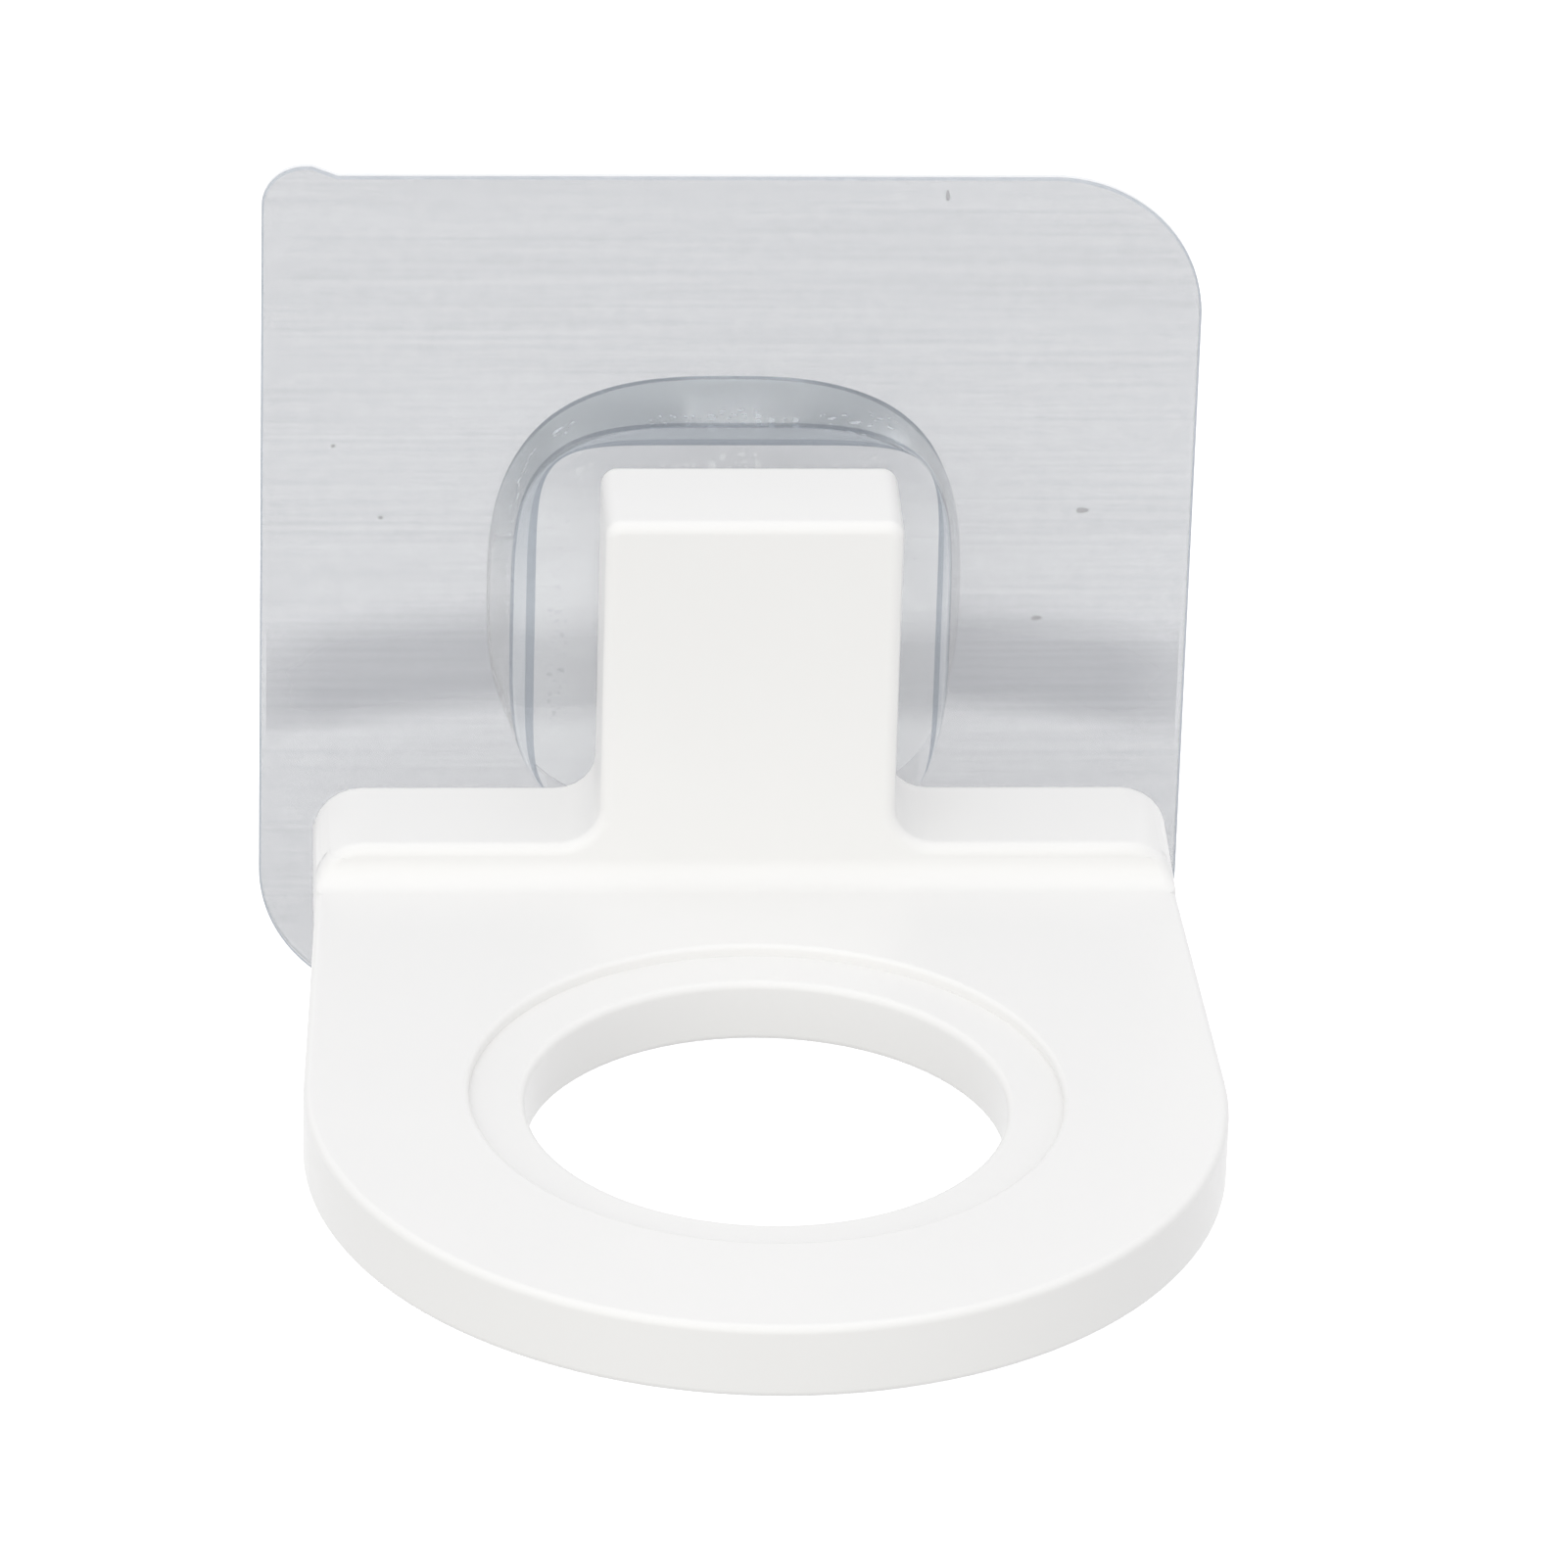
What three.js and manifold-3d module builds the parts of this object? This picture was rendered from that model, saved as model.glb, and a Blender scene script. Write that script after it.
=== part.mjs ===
// Shower bottle holder: a white moulded hanger that hooks onto a clear seat on a square adhesive wall pad.
// Millimetres. +X is to the right, +Y points into the wall and +Z is up.
// The origin is the centre of the pad's back, in the plane of the wall.
import * as THREE from "three";
import { mergeVertices } from "three/addons/utils/BufferGeometryUtils.js";
import Module from "manifold-3d";

const wasm = await Module();
wasm.setup();

// Wall pad: liner, adhesive and film, stacked from the wall outwards
const PAD_WIDTH = 70;
const PAD_HEIGHT = 69.4;
const PAD_CORNER = 11.4;
const LINER_THICKNESS = 0.1;
const ADHESIVE_THICKNESS = 0.3;
const ADHESIVE_MARGIN = 0.5;
const FILM_THICKNESS = 0.3;
const TAB_LENGTH = 5.6;
const TAB_RISE = 0.75;
const TAB_SLOPE = 1.9;
const TAB_OUTER_CORNER = 3.2;
const TAB_NOTCH_CORNER = 0.5;

// Clear seat and the glue under it
const SEAT_SHIFT_RIGHT = 0.4;
const SEAT_SHIFT_UP = 0.9;
const BOND_THICKNESS = 0.3;
const BOND_WIDTH = 20;
const BOND_HEIGHT = 18;
const SEAT_BASE_WIDTH = 35.6;
const SEAT_BASE_HEIGHT = 35.6;
const SEAT_BASE_SQUARENESS = 2.75;
const SEAT_BASE_SHIFT_LEFT = 0.6;
const SEAT_FACE_WIDTH = 30;
const SEAT_FACE_HEIGHT = 30.8;
const SEAT_FACE_SQUARENESS = 7;
const SEAT_DEPTH = 7;
const SEAT_LIP_DEPTH = 0.8;
const SEAT_FOOT_ROUND = 0.3;
const SEAT_EDGE_ROUND = 1.2;

// T-shaped rail on the seat's face, which the holder's slot hooks over
const RAIL_SHIFT_RIGHT = 0.7;
const RAIL_NECK_WIDTH = 8;
const RAIL_NECK_DEPTH = 2.2;
const RAIL_HEAD_WIDTH = 13;
const RAIL_HEAD_DEPTH = 2.2;
const RAIL_LENGTH = 22;
const RAIL_CLEARANCE = 0.25;
const RAIL_STOP_GAP = 0.05;
const TONGUE_BACK_GAP = 0.15;

// White holder: tongue, shoulder and shelf
const SEAT_STRIP_ABOVE_TONGUE = 1.5;
const TONGUE_WIDTH = 22;
const TONGUE_HEIGHT = 26.8;
const TONGUE_TOP_CORNER = 1.2;
const TONGUE_TOP_WALL = 3;
const BLOCK_THICKNESS = 9.95;
const BLOCK_EDGE_ROUND = 0.9;
const SHOULDER_WIDTH = 64.2;
const SHOULDER_RISE = 3;
const SHOULDER_CORNER = 3.6;
const TONGUE_ROOT_FILLET = 3;
const SHELF_THICKNESS = 5.8;
const SHELF_FRONT_RADIUS = 33.4;
const SHELF_FOOT_FILLET = 2;
const HOLE_AHEAD_OF_TONGUE = 31.3;
const HOLE_DIAMETER = 34.8;
const RECESS_DIAMETER = 43;
const RECESS_DEPTH = 0.9;
const RECESS_LIP_ROUND = 0.4;
const EDGE_ROUND = 0.6;

// Cored underside of the holder
const WALL = 2.4;
const RIB = 1.4;
const SHELF_RIB_COUNT = 18;
const CELLS_PER_WING = 3;

// Fineness of the facets
const ARC_STEP = Math.PI / 12;
const SHELF_ARC_STEPS = 64;
const HOLE_FACETS = 80;
const ROUND_STEPS = 4;
const SEAT_RING_POINTS = 64;

// Overshoot of a cutter past the face it opens, and overlap of pieces that are joined
const CUT_PAST = 1;
const JOIN_DEPTH = 0.6;

// Places that follow from the sizes
const FILM_BACK = LINER_THICKNESS + ADHESIVE_THICKNESS;
const FILM_FRONT = FILM_BACK + FILM_THICKNESS;
const SEAT_BACK = FILM_FRONT + BOND_THICKNESS;
const SEAT_FRONT = SEAT_BACK + SEAT_DEPTH;
const TONGUE_TOP = SEAT_FACE_HEIGHT / 2 - SEAT_STRIP_ABOVE_TONGUE;
const SLOT_TOP = TONGUE_TOP - TONGUE_TOP_WALL;
const RAIL_TOP = SLOT_TOP - RAIL_STOP_GAP;
const SHOULDER_TOP = TONGUE_TOP - TONGUE_HEIGHT;
const SHELF_TOP = SHOULDER_TOP - SHOULDER_RISE;
const SHELF_BOTTOM = SHELF_TOP - SHELF_THICKNESS;
const BLOCK_BACK = -TONGUE_BACK_GAP;
const BLOCK_FRONT = BLOCK_BACK - BLOCK_THICKNESS;
const HOLE_CENTRE = BLOCK_FRONT - HOLE_AHEAD_OF_TONGUE;
const FOOT_RADIUS = Math.min(SHELF_FOOT_FILLET, SHOULDER_RISE - BLOCK_EDGE_ROUND);
const FOOT_FRONT = BLOCK_FRONT - FOOT_RADIUS;

// Booleans: a closed geometry becomes a solid, and a solid becomes a geometry again
function solidFrom(geometry) {
  const bare = geometry.clone();
  bare.deleteAttribute("normal");
  bare.deleteAttribute("uv");
  const merged = mergeVertices(bare, 1e-5);
  return new wasm.Manifold(new wasm.Mesh({
    numProp: 3,
    vertProperties: Float32Array.from(merged.attributes.position.array),
    triVerts: Uint32Array.from(merged.index.array),
  }));
}

function geometryFrom(solid) {
  const mesh = solid.getMesh();
  const geometry = new THREE.BufferGeometry();
  geometry.setAttribute("position", new THREE.BufferAttribute(mesh.vertProperties, 3));
  geometry.setIndex(new THREE.BufferAttribute(mesh.triVerts, 1));
  geometry.computeVertexNormals();
  return geometry;
}

// Outlines
function arcPoints(x, y, radius, startAngle, endAngle, steps) {
  const points = [];
  for (let i = 0; i <= steps; i += 1) {
    const angle = startAngle + ((endAngle - startAngle) * i) / steps;
    points.push(new THREE.Vector2(x + radius * Math.cos(angle), y + radius * Math.sin(angle)));
  }
  return points;
}

// A polygon whose corners, given as [x, y, radius], are rounded; inner corners work too
function roundedPolygon(corners) {
  const points = [];
  corners.forEach(([x, y, radius], index) => {
    const corner = new THREE.Vector2(x, y);
    if (radius === 0) {
      points.push(corner);
      return;
    }
    const [px, py] = corners[(index + corners.length - 1) % corners.length];
    const [nx, ny] = corners[(index + 1) % corners.length];
    const back = new THREE.Vector2(px, py).sub(corner).normalize();
    const ahead = new THREE.Vector2(nx, ny).sub(corner).normalize();
    const opening = Math.acos(back.dot(ahead));
    const bisector = back.clone().add(ahead).normalize();
    const centre = corner.clone().addScaledVector(bisector, radius / Math.sin(opening / 2));
    const start = corner.clone().addScaledVector(back, radius / Math.tan(opening / 2)).sub(centre).angle();
    const turn = Math.sign(ahead.cross(back)) * (Math.PI - opening);
    const steps = Math.max(2, Math.round(Math.abs(turn) / ARC_STEP));
    points.push(...arcPoints(centre.x, centre.y, radius, start, start + turn, steps));
  });
  return points;
}

function rectangleCorners(width, height, radius) {
  const x = width / 2;
  const y = height / 2;
  return [[-x, -y, radius], [x, -y, radius], [x, y, radius], [-x, y, radius]];
}

// Extrusions: a plain prism, or one with all its end edges rounded
function prism(points, depth) {
  return new THREE.ExtrudeGeometry(new THREE.Shape(points), { depth, bevelEnabled: false });
}

function roundedPrism(points, depth, round) {
  const geometry = new THREE.ExtrudeGeometry(new THREE.Shape(points), {
    depth: depth - 2 * round,
    bevelThickness: round,
    bevelSize: round,
    bevelOffset: -round,
    bevelSegments: ROUND_STEPS,
  });
  return geometry.translate(0, 0, round);
}

// A shape drawn in X and Z and extruded away from the wall, starting at a distance from the wall's plane
function standUp(geometry, start) {
  return geometry.rotateX(Math.PI / 2).translate(0, -start, 0);
}

function revolve(profile) {
  return new THREE.LatheGeometry(profile, HOLE_FACETS).rotateX(Math.PI / 2);
}

function boxBetween(low, high) {
  const size = high.map((value, axis) => value - low[axis]);
  const middle = high.map((value, axis) => (value + low[axis]) / 2);
  return new THREE.BoxGeometry(...size).translate(...middle);
}

// Pad layers
function tabbedPadOutline() {
  const x = PAD_WIDTH / 2;
  const z = PAD_HEIGHT / 2;
  return roundedPolygon([
    [-x, -z, PAD_CORNER],
    [x, -z, PAD_CORNER],
    [x, z, PAD_CORNER],
    [-x + TAB_LENGTH, z, TAB_NOTCH_CORNER],
    [-x + TAB_LENGTH - TAB_SLOPE, z + TAB_RISE, TAB_NOTCH_CORNER],
    [-x, z + TAB_RISE, TAB_OUTER_CORNER],
  ]);
}

function linerGeometry() {
  return standUp(prism(tabbedPadOutline(), LINER_THICKNESS), 0);
}

// The adhesive stops short of the film's edge, and leaves the tab's corner free
function adhesiveGeometry() {
  const corners = rectangleCorners(
    PAD_WIDTH - 2 * ADHESIVE_MARGIN,
    PAD_HEIGHT - 2 * ADHESIVE_MARGIN,
    PAD_CORNER - ADHESIVE_MARGIN,
  );
  return standUp(prism(roundedPolygon(corners), ADHESIVE_THICKNESS), LINER_THICKNESS);
}

function filmGeometry() {
  return standUp(prism(tabbedPadOutline(), FILM_THICKNESS), FILM_BACK);
}

// A superellipse: the higher the squareness, the tighter its four corners
function superellipse(width, height, squareness) {
  const points = [];
  for (let i = 0; i < SEAT_RING_POINTS; i += 1) {
    const angle = ((i + 0.5) * 2 * Math.PI) / SEAT_RING_POINTS;
    const [x, y] = [Math.cos(angle), Math.sin(angle)].map(
      (value) => Math.sign(value) * Math.abs(value) ** (2 / squareness),
    );
    points.push(new THREE.Vector2((x * width) / 2, (y * height) / 2));
  }
  return points;
}

// Seat: superellipses lofted along the flank, softly round at the foot and squarer at the front face
function seatRing(inset, depth) {
  const share = (2 * inset) / (SEAT_BASE_WIDTH - SEAT_FACE_WIDTH);
  const width = THREE.MathUtils.lerp(SEAT_BASE_WIDTH, SEAT_FACE_WIDTH, share);
  const height = THREE.MathUtils.lerp(SEAT_BASE_HEIGHT, SEAT_FACE_HEIGHT, share);
  const softness = THREE.MathUtils.lerp(1 / SEAT_BASE_SQUARENESS, 1 / SEAT_FACE_SQUARENESS, share);
  const shift = (share - 1) * SEAT_BASE_SHIFT_LEFT;
  return superellipse(width, height, 1 / softness).map(
    (point) => new THREE.Vector3(point.x + shift, point.y, depth),
  );
}

// The flank in section: a rounded foot, a short straight lip, a sloping side and a rounded front edge
function seatFlank() {
  const fullInset = (SEAT_BASE_WIDTH - SEAT_FACE_WIDTH) / 2;
  const edge = new THREE.Vector2(fullInset, SEAT_DEPTH);
  const lip = new THREE.Vector2(0, SEAT_LIP_DEPTH);
  const slope = new THREE.Vector2(fullInset - SEAT_EDGE_ROUND, SEAT_DEPTH).sub(lip).normalize();
  const roundStart = new THREE.Vector2(fullInset - SEAT_EDGE_ROUND, SEAT_DEPTH);
  const flankEnd = roundStart.clone().addScaledVector(slope, -SEAT_EDGE_ROUND);
  const foot = arcPoints(SEAT_FOOT_ROUND, SEAT_FOOT_ROUND, SEAT_FOOT_ROUND, -Math.PI / 2, -Math.PI, 2);
  const round = new THREE.QuadraticBezierCurve(flankEnd, roundStart, edge).getPoints(2 * ROUND_STEPS);
  return [...foot, lip, ...round];
}

function loft(rings) {
  const count = rings[0].length;
  const positions = rings.flat().flatMap((point) => point.toArray());
  const triangles = [];
  for (let level = 0; level + 1 < rings.length; level += 1) {
    for (let i = 0; i < count; i += 1) {
      const a = level * count + i;
      const b = level * count + ((i + 1) % count);
      triangles.push(a, b, b + count, a, b + count, a + count);
    }
  }
  const last = (rings.length - 1) * count;
  for (let i = 1; i + 1 < count; i += 1) {
    triangles.push(0, i + 1, i);
    triangles.push(last, last + i, last + i + 1);
  }
  const geometry = new THREE.BufferGeometry();
  geometry.setAttribute("position", new THREE.Float32BufferAttribute(positions, 3));
  geometry.setIndex(triangles);
  return geometry;
}

// Plan of the rail, or of the slot round it when grown by a clearance; y is 0 on the seat's face
function railPlan(grow, back) {
  const neck = RAIL_NECK_WIDTH / 2 + grow;
  const head = RAIL_HEAD_WIDTH / 2 + grow;
  const headBack = grow - RAIL_NECK_DEPTH;
  const headFront = -RAIL_NECK_DEPTH - RAIL_HEAD_DEPTH - grow;
  return [
    new THREE.Vector2(-neck, back),
    new THREE.Vector2(-neck, headBack),
    new THREE.Vector2(-head, headBack),
    new THREE.Vector2(-head, headFront),
    new THREE.Vector2(head, headFront),
    new THREE.Vector2(head, headBack),
    new THREE.Vector2(neck, headBack),
    new THREE.Vector2(neck, back),
  ];
}

// Seat and rail are one moulding, drawn with y = 0 on the seat's front face
function seatGeometry() {
  const rings = seatFlank().map(({ x: inset, y: depth }) => seatRing(inset, depth));
  const block = standUp(loft(rings), -SEAT_DEPTH);
  const rail = prism(railPlan(0, JOIN_DEPTH), RAIL_LENGTH);
  rail.translate(RAIL_SHIFT_RIGHT, 0, RAIL_TOP - RAIL_LENGTH);
  return geometryFrom(solidFrom(block).add(solidFrom(rail)));
}

function bondGeometry() {
  const outline = superellipse(BOND_WIDTH, BOND_HEIGHT, SEAT_FACE_SQUARENESS);
  return standUp(prism(outline, BOND_THICKNESS), -(SEAT_DEPTH + BOND_THICKNESS));
}

// Holder: tongue and shoulder are one upright plate, drawn from the front
function uprightPlate() {
  const shoulder = SHOULDER_WIDTH / 2;
  const tongue = TONGUE_WIDTH / 2;
  const outline = roundedPolygon([
    [-shoulder, SHELF_BOTTOM, 0],
    [shoulder, SHELF_BOTTOM, 0],
    [shoulder, SHOULDER_TOP, SHOULDER_CORNER],
    [tongue, SHOULDER_TOP, TONGUE_ROOT_FILLET],
    [tongue, TONGUE_TOP, TONGUE_TOP_CORNER],
    [-tongue, TONGUE_TOP, TONGUE_TOP_CORNER],
    [-tongue, SHOULDER_TOP, TONGUE_ROOT_FILLET],
    [-shoulder, SHOULDER_TOP, SHOULDER_CORNER],
  ]);
  return standUp(roundedPrism(outline, BLOCK_THICKNESS, BLOCK_EDGE_ROUND), -BLOCK_BACK);
}

// Shelf in plan: sides flush with the shoulder's ends as far as its foot, then tangent to the round front
function shelfPlate() {
  const side = SHOULDER_WIDTH / 2;
  const reach = FOOT_FRONT - HOLE_CENTRE;
  const tangent = Math.atan2(reach, side) - Math.acos(SHELF_FRONT_RADIUS / Math.hypot(side, reach));
  const front = arcPoints(
    0, HOLE_CENTRE, SHELF_FRONT_RADIUS, Math.PI - tangent, 2 * Math.PI + tangent, SHELF_ARC_STEPS,
  );
  const outline = [
    new THREE.Vector2(side, FOOT_FRONT),
    new THREE.Vector2(side, BLOCK_BACK),
    new THREE.Vector2(-side, BLOCK_BACK),
    new THREE.Vector2(-side, FOOT_FRONT),
    ...front,
  ];
  return roundedPrism(outline, SHELF_THICKNESS, EDGE_ROUND).translate(0, 0, SHELF_BOTTOM);
}

// Fillet along the foot of the shoulder, lofted from slices in plan that reach out towards the shelf.
// The slices' ends follow the shoulder's rounded top corners and its rounded edges.
function footFillet() {
  const cornerStart = SHOULDER_TOP - SHOULDER_CORNER;
  const slice = (reach, height) => {
    const climb = Math.max(0, height - cornerStart);
    const side = SHOULDER_WIDTH / 2 - SHOULDER_CORNER + Math.sqrt(SHOULDER_CORNER ** 2 - climb ** 2);
    const centre = side - BLOCK_EDGE_ROUND;
    const front = BLOCK_FRONT - reach + BLOCK_EDGE_ROUND;
    const outline = [
      new THREE.Vector2(-side, BLOCK_FRONT + BLOCK_EDGE_ROUND + JOIN_DEPTH),
      ...arcPoints(-centre, front, BLOCK_EDGE_ROUND, Math.PI, 1.5 * Math.PI, ROUND_STEPS),
      ...arcPoints(centre, front, BLOCK_EDGE_ROUND, 1.5 * Math.PI, 2 * Math.PI, ROUND_STEPS),
      new THREE.Vector2(side, BLOCK_FRONT + BLOCK_EDGE_ROUND + JOIN_DEPTH),
    ];
    return outline.map((point) => new THREE.Vector3(point.x, point.y, height));
  };
  const section = arcPoints(
    FOOT_RADIUS, SHELF_TOP + FOOT_RADIUS, FOOT_RADIUS, -Math.PI / 2, -Math.PI, 2 * ROUND_STEPS,
  );
  const slices = section.map(({ x: reach, y: height }) => slice(reach, height));
  return loft([slice(FOOT_RADIUS, SHELF_TOP - JOIN_DEPTH), ...slices]);
}

// Revolved cutter for the neck hole, with its rounded rims, and the shallow recess round it
function neckCutter() {
  const hole = HOLE_DIAMETER / 2;
  const recess = RECESS_DIAMETER / 2;
  const floor = SHELF_TOP - RECESS_DEPTH;
  const rim = hole + EDGE_ROUND;
  const lip = recess + RECESS_LIP_ROUND;
  const profile = [
    new THREE.Vector2(0, SHELF_BOTTOM - CUT_PAST),
    new THREE.Vector2(rim, SHELF_BOTTOM - CUT_PAST),
    ...arcPoints(rim, SHELF_BOTTOM + EDGE_ROUND, EDGE_ROUND, -Math.PI / 2, -Math.PI, ROUND_STEPS),
    ...arcPoints(rim, floor - EDGE_ROUND, EDGE_ROUND, Math.PI, Math.PI / 2, ROUND_STEPS),
    new THREE.Vector2(recess, floor),
    ...arcPoints(lip, SHELF_TOP - RECESS_LIP_ROUND, RECESS_LIP_ROUND, Math.PI, Math.PI / 2, ROUND_STEPS),
    new THREE.Vector2(lip, SHELF_TOP + CUT_PAST),
    new THREE.Vector2(0, SHELF_TOP + CUT_PAST),
  ];
  return revolve(profile).translate(0, HOLE_CENTRE, 0);
}

// Ring of pockets under the shelf, with spokes left standing between them
function shelfPockets() {
  const inner = HOLE_DIAMETER / 2 + WALL;
  const outer = SHELF_FRONT_RADIUS - WALL;
  const low = SHELF_BOTTOM - CUT_PAST;
  const roof = SHELF_TOP - RECESS_DEPTH - WALL;
  const section = [
    new THREE.Vector2(inner, low),
    new THREE.Vector2(outer, low),
    new THREE.Vector2(outer, roof),
    new THREE.Vector2(inner, roof),
    new THREE.Vector2(inner, low),
  ];
  let pockets = solidFrom(revolve(section).translate(0, HOLE_CENTRE, 0));
  for (let i = 0; i < SHELF_RIB_COUNT; i += 1) {
    const spoke = boxBetween(
      [inner - CUT_PAST, -RIB / 2, low - CUT_PAST],
      [outer + CUT_PAST, RIB / 2, roof + CUT_PAST],
    );
    spoke.rotateZ(((i + 0.5) * 2 * Math.PI) / SHELF_RIB_COUNT).translate(0, HOLE_CENTRE, 0);
    pockets = pockets.subtract(solidFrom(spoke));
  }
  return pockets;
}

// Cells that core the shoulder from below, on both sides of the rail slot
function wingCells() {
  const inner = RAIL_HEAD_WIDTH / 2 + RAIL_CLEARANCE + WALL;
  const outer = SHOULDER_WIDTH / 2 - WALL;
  const width = (outer - inner - (CELLS_PER_WING - 1) * RIB) / CELLS_PER_WING;
  const cells = [];
  for (const side of [-1, 1]) {
    for (let i = 0; i < CELLS_PER_WING; i += 1) {
      const near = inner + i * (width + RIB);
      const ends = [side * near, side * (near + width)].sort((a, b) => a - b);
      cells.push(solidFrom(boxBetween(
        [ends[0], BLOCK_FRONT + WALL, SHELF_BOTTOM - CUT_PAST],
        [ends[1], BLOCK_BACK - WALL, SHOULDER_TOP - WALL],
      )));
    }
  }
  return cells;
}

function holderGeometry() {
  const slotLow = SHELF_BOTTOM - CUT_PAST;
  const slot = prism(railPlan(RAIL_CLEARANCE, CUT_PAST), SLOT_TOP - slotLow).translate(0, 0, slotLow);
  let solid = solidFrom(uprightPlate())
    .add(solidFrom(shelfPlate()))
    .add(solidFrom(footFillet()))
    .subtract(solidFrom(neckCutter()))
    .subtract(solidFrom(slot))
    .subtract(shelfPockets());
  for (const cell of wingCells()) {
    solid = solid.subtract(cell);
  }
  return geometryFrom(solid);
}

// Materials
function clearMaterial(colour, roughness, opacity) {
  return new THREE.MeshStandardMaterial({
    color: colour,
    roughness,
    metalness: 0,
    transparent: true,
    opacity,
  });
}

const linerMaterial = clearMaterial(0xe6e9ec, 0.35, 0.6);
const adhesiveMaterial = clearMaterial(0xdfe4e8, 0.2, 0.4);
const filmMaterial = clearMaterial(0xd6d9de, 0.15, 0.55);
const bondMaterial = clearMaterial(0xe2e7ea, 0.1, 0.35);
const seatMaterial = clearMaterial(0xdde2e7, 0.05, 0.35);
const whiteMaterial = new THREE.MeshStandardMaterial({ color: 0xf3f3f1, roughness: 0.22, metalness: 0 });

function named(name, geometry, material) {
  const mesh = new THREE.Mesh(geometry, material);
  mesh.name = name;
  return mesh;
}

// Assembly: the pad lies on the wall, and seat and holder share a group on the seat's front face
const holder = named("holder", holderGeometry(), whiteMaterial);
holder.position.x = RAIL_SHIFT_RIGHT;

const onSeat = new THREE.Group();
onSeat.position.set(SEAT_SHIFT_RIGHT, -SEAT_FRONT, SEAT_SHIFT_UP);
onSeat.add(
  named("seat_bond", bondGeometry(), bondMaterial),
  named("seat", seatGeometry(), seatMaterial),
  holder,
);

const bottleHolder = new THREE.Group();
bottleHolder.add(
  named("release_liner", linerGeometry(), linerMaterial),
  named("adhesive_layer", adhesiveGeometry(), adhesiveMaterial),
  named("carrier_film", filmGeometry(), filmMaterial),
  onSeat,
);

export default bottleHolder;
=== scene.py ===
"""Looks of the shower bottle holder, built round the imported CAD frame. Metres, in the frame's axes."""

import math
import random

import bmesh
import bpy
from mathutils import Matrix, Vector


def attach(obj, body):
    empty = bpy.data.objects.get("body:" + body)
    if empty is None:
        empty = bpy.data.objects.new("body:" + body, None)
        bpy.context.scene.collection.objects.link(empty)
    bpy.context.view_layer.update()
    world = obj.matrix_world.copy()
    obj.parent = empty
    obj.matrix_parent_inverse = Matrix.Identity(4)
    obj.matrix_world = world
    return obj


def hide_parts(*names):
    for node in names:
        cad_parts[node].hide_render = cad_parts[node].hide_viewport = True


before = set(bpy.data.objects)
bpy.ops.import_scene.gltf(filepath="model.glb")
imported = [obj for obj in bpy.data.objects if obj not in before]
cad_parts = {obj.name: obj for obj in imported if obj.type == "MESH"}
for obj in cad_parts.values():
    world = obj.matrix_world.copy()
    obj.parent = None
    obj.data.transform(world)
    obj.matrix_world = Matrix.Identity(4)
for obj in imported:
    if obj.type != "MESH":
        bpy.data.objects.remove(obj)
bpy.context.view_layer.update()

MM = 0.001

# Camera, fitted to the photograph's edges
IMAGE_SIZE = 1601
SENSOR_WIDTH = 36
FOCAL_PIXELS = 11470
CAMERA_DISTANCE = 853.9 * MM
CAMERA_YAW = math.radians(3.687)
CAMERA_ELEVATION = math.radians(28.13)
CAMERA_ROLL = math.radians(-1.675)
CAMERA_TARGET = Vector((4.85, -0.7, -16.07)) * MM
CAMERA_CLIP_START = 0.01

# Floor, world and lamps; each lamp is (name, place, diameter, watts, colour)
WHITE = (1, 1, 1, 1)
FLOOR_GREY = (0.58, 0.58, 0.58, 1)
FLOOR_ROUGHNESS = 0.9
FLOOR_GLOW = 0.7
FLOOR_LEVEL = -0.14
FLOOR_HALF_WIDTH = 4
FLOOR_CELLS = 8
WORLD_COLOUR = (0.985, 0.985, 1, 1)
WORLD_STRENGTH = 0.85
LAMP_AIM = Vector((0, -0.03, 0))
LAMPS = [
    ("top_softbox", (-0.1, -0.32, 0.95), 1.5, 2.4, (0.99, 0.995, 1)),
    ("front_softbox", (-0.34, -1.13, 0.3), 1.6, 3.85, (1, 0.985, 0.89)),
]

# Pad layers, as in the CAD part: depths are counted from the wall outwards
PAD_WIDTH = 70 * MM
PAD_HEIGHT = 69.4 * MM
PAD_CORNER = 11.4 * MM
LINER_FRONT = 0.1 * MM
FILM_BACK = 0.4 * MM
FILM_FRONT = 0.7 * MM
ADHESIVE_MARGIN = 0.5 * MM
TAB_LENGTH = 5.6 * MM
TAB_RISE = 0.75 * MM
TAB_SLOPE = 1.9 * MM
TAB_OUTER_CORNER = 3.2 * MM
TAB_NOTCH_CORNER = 0.5 * MM
LAYER_GAP = 0.01 * MM
SHEET_EDGE_ROUND = 0.04 * MM
LINER_EDGE_ROUND = SHEET_EDGE_ROUND / 2
SHEET_BORDER = 0.16 * MM
OUTLINE_STEP = math.radians(3)
FEWEST_OUTLINE_STEPS = 4

# Clear seat and the glue under it
SEAT_X = 0.4 * MM
SEAT_Z = 0.9 * MM
SEAT_BACK = 1.0 * MM
SEAT_DEPTH = 7 * MM
SEAT_BASE = Vector((35.6, 35.6)) * MM
SEAT_FACE = Vector((30, 30.8)) * MM
SEAT_BASE_SQUARENESS = 2.75
SEAT_BASE_SHIFT_LEFT = 0.6 * MM
SEAT_FACE_SQUARENESS = 7
SEAT_LIP_DEPTH = 0.8 * MM
SEAT_FOOT_ROUND = 0.3 * MM
SEAT_EDGE_ROUND = 1.2 * MM
SEAT_RING_POINTS = 192
FOOT_STEPS = 4
SLOPE_STEPS = 6
EDGE_ROUND_STEPS = 12
EDGE_LINE_STEPS = 3
BOND_SIZE = Vector((20, 18)) * MM

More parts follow.
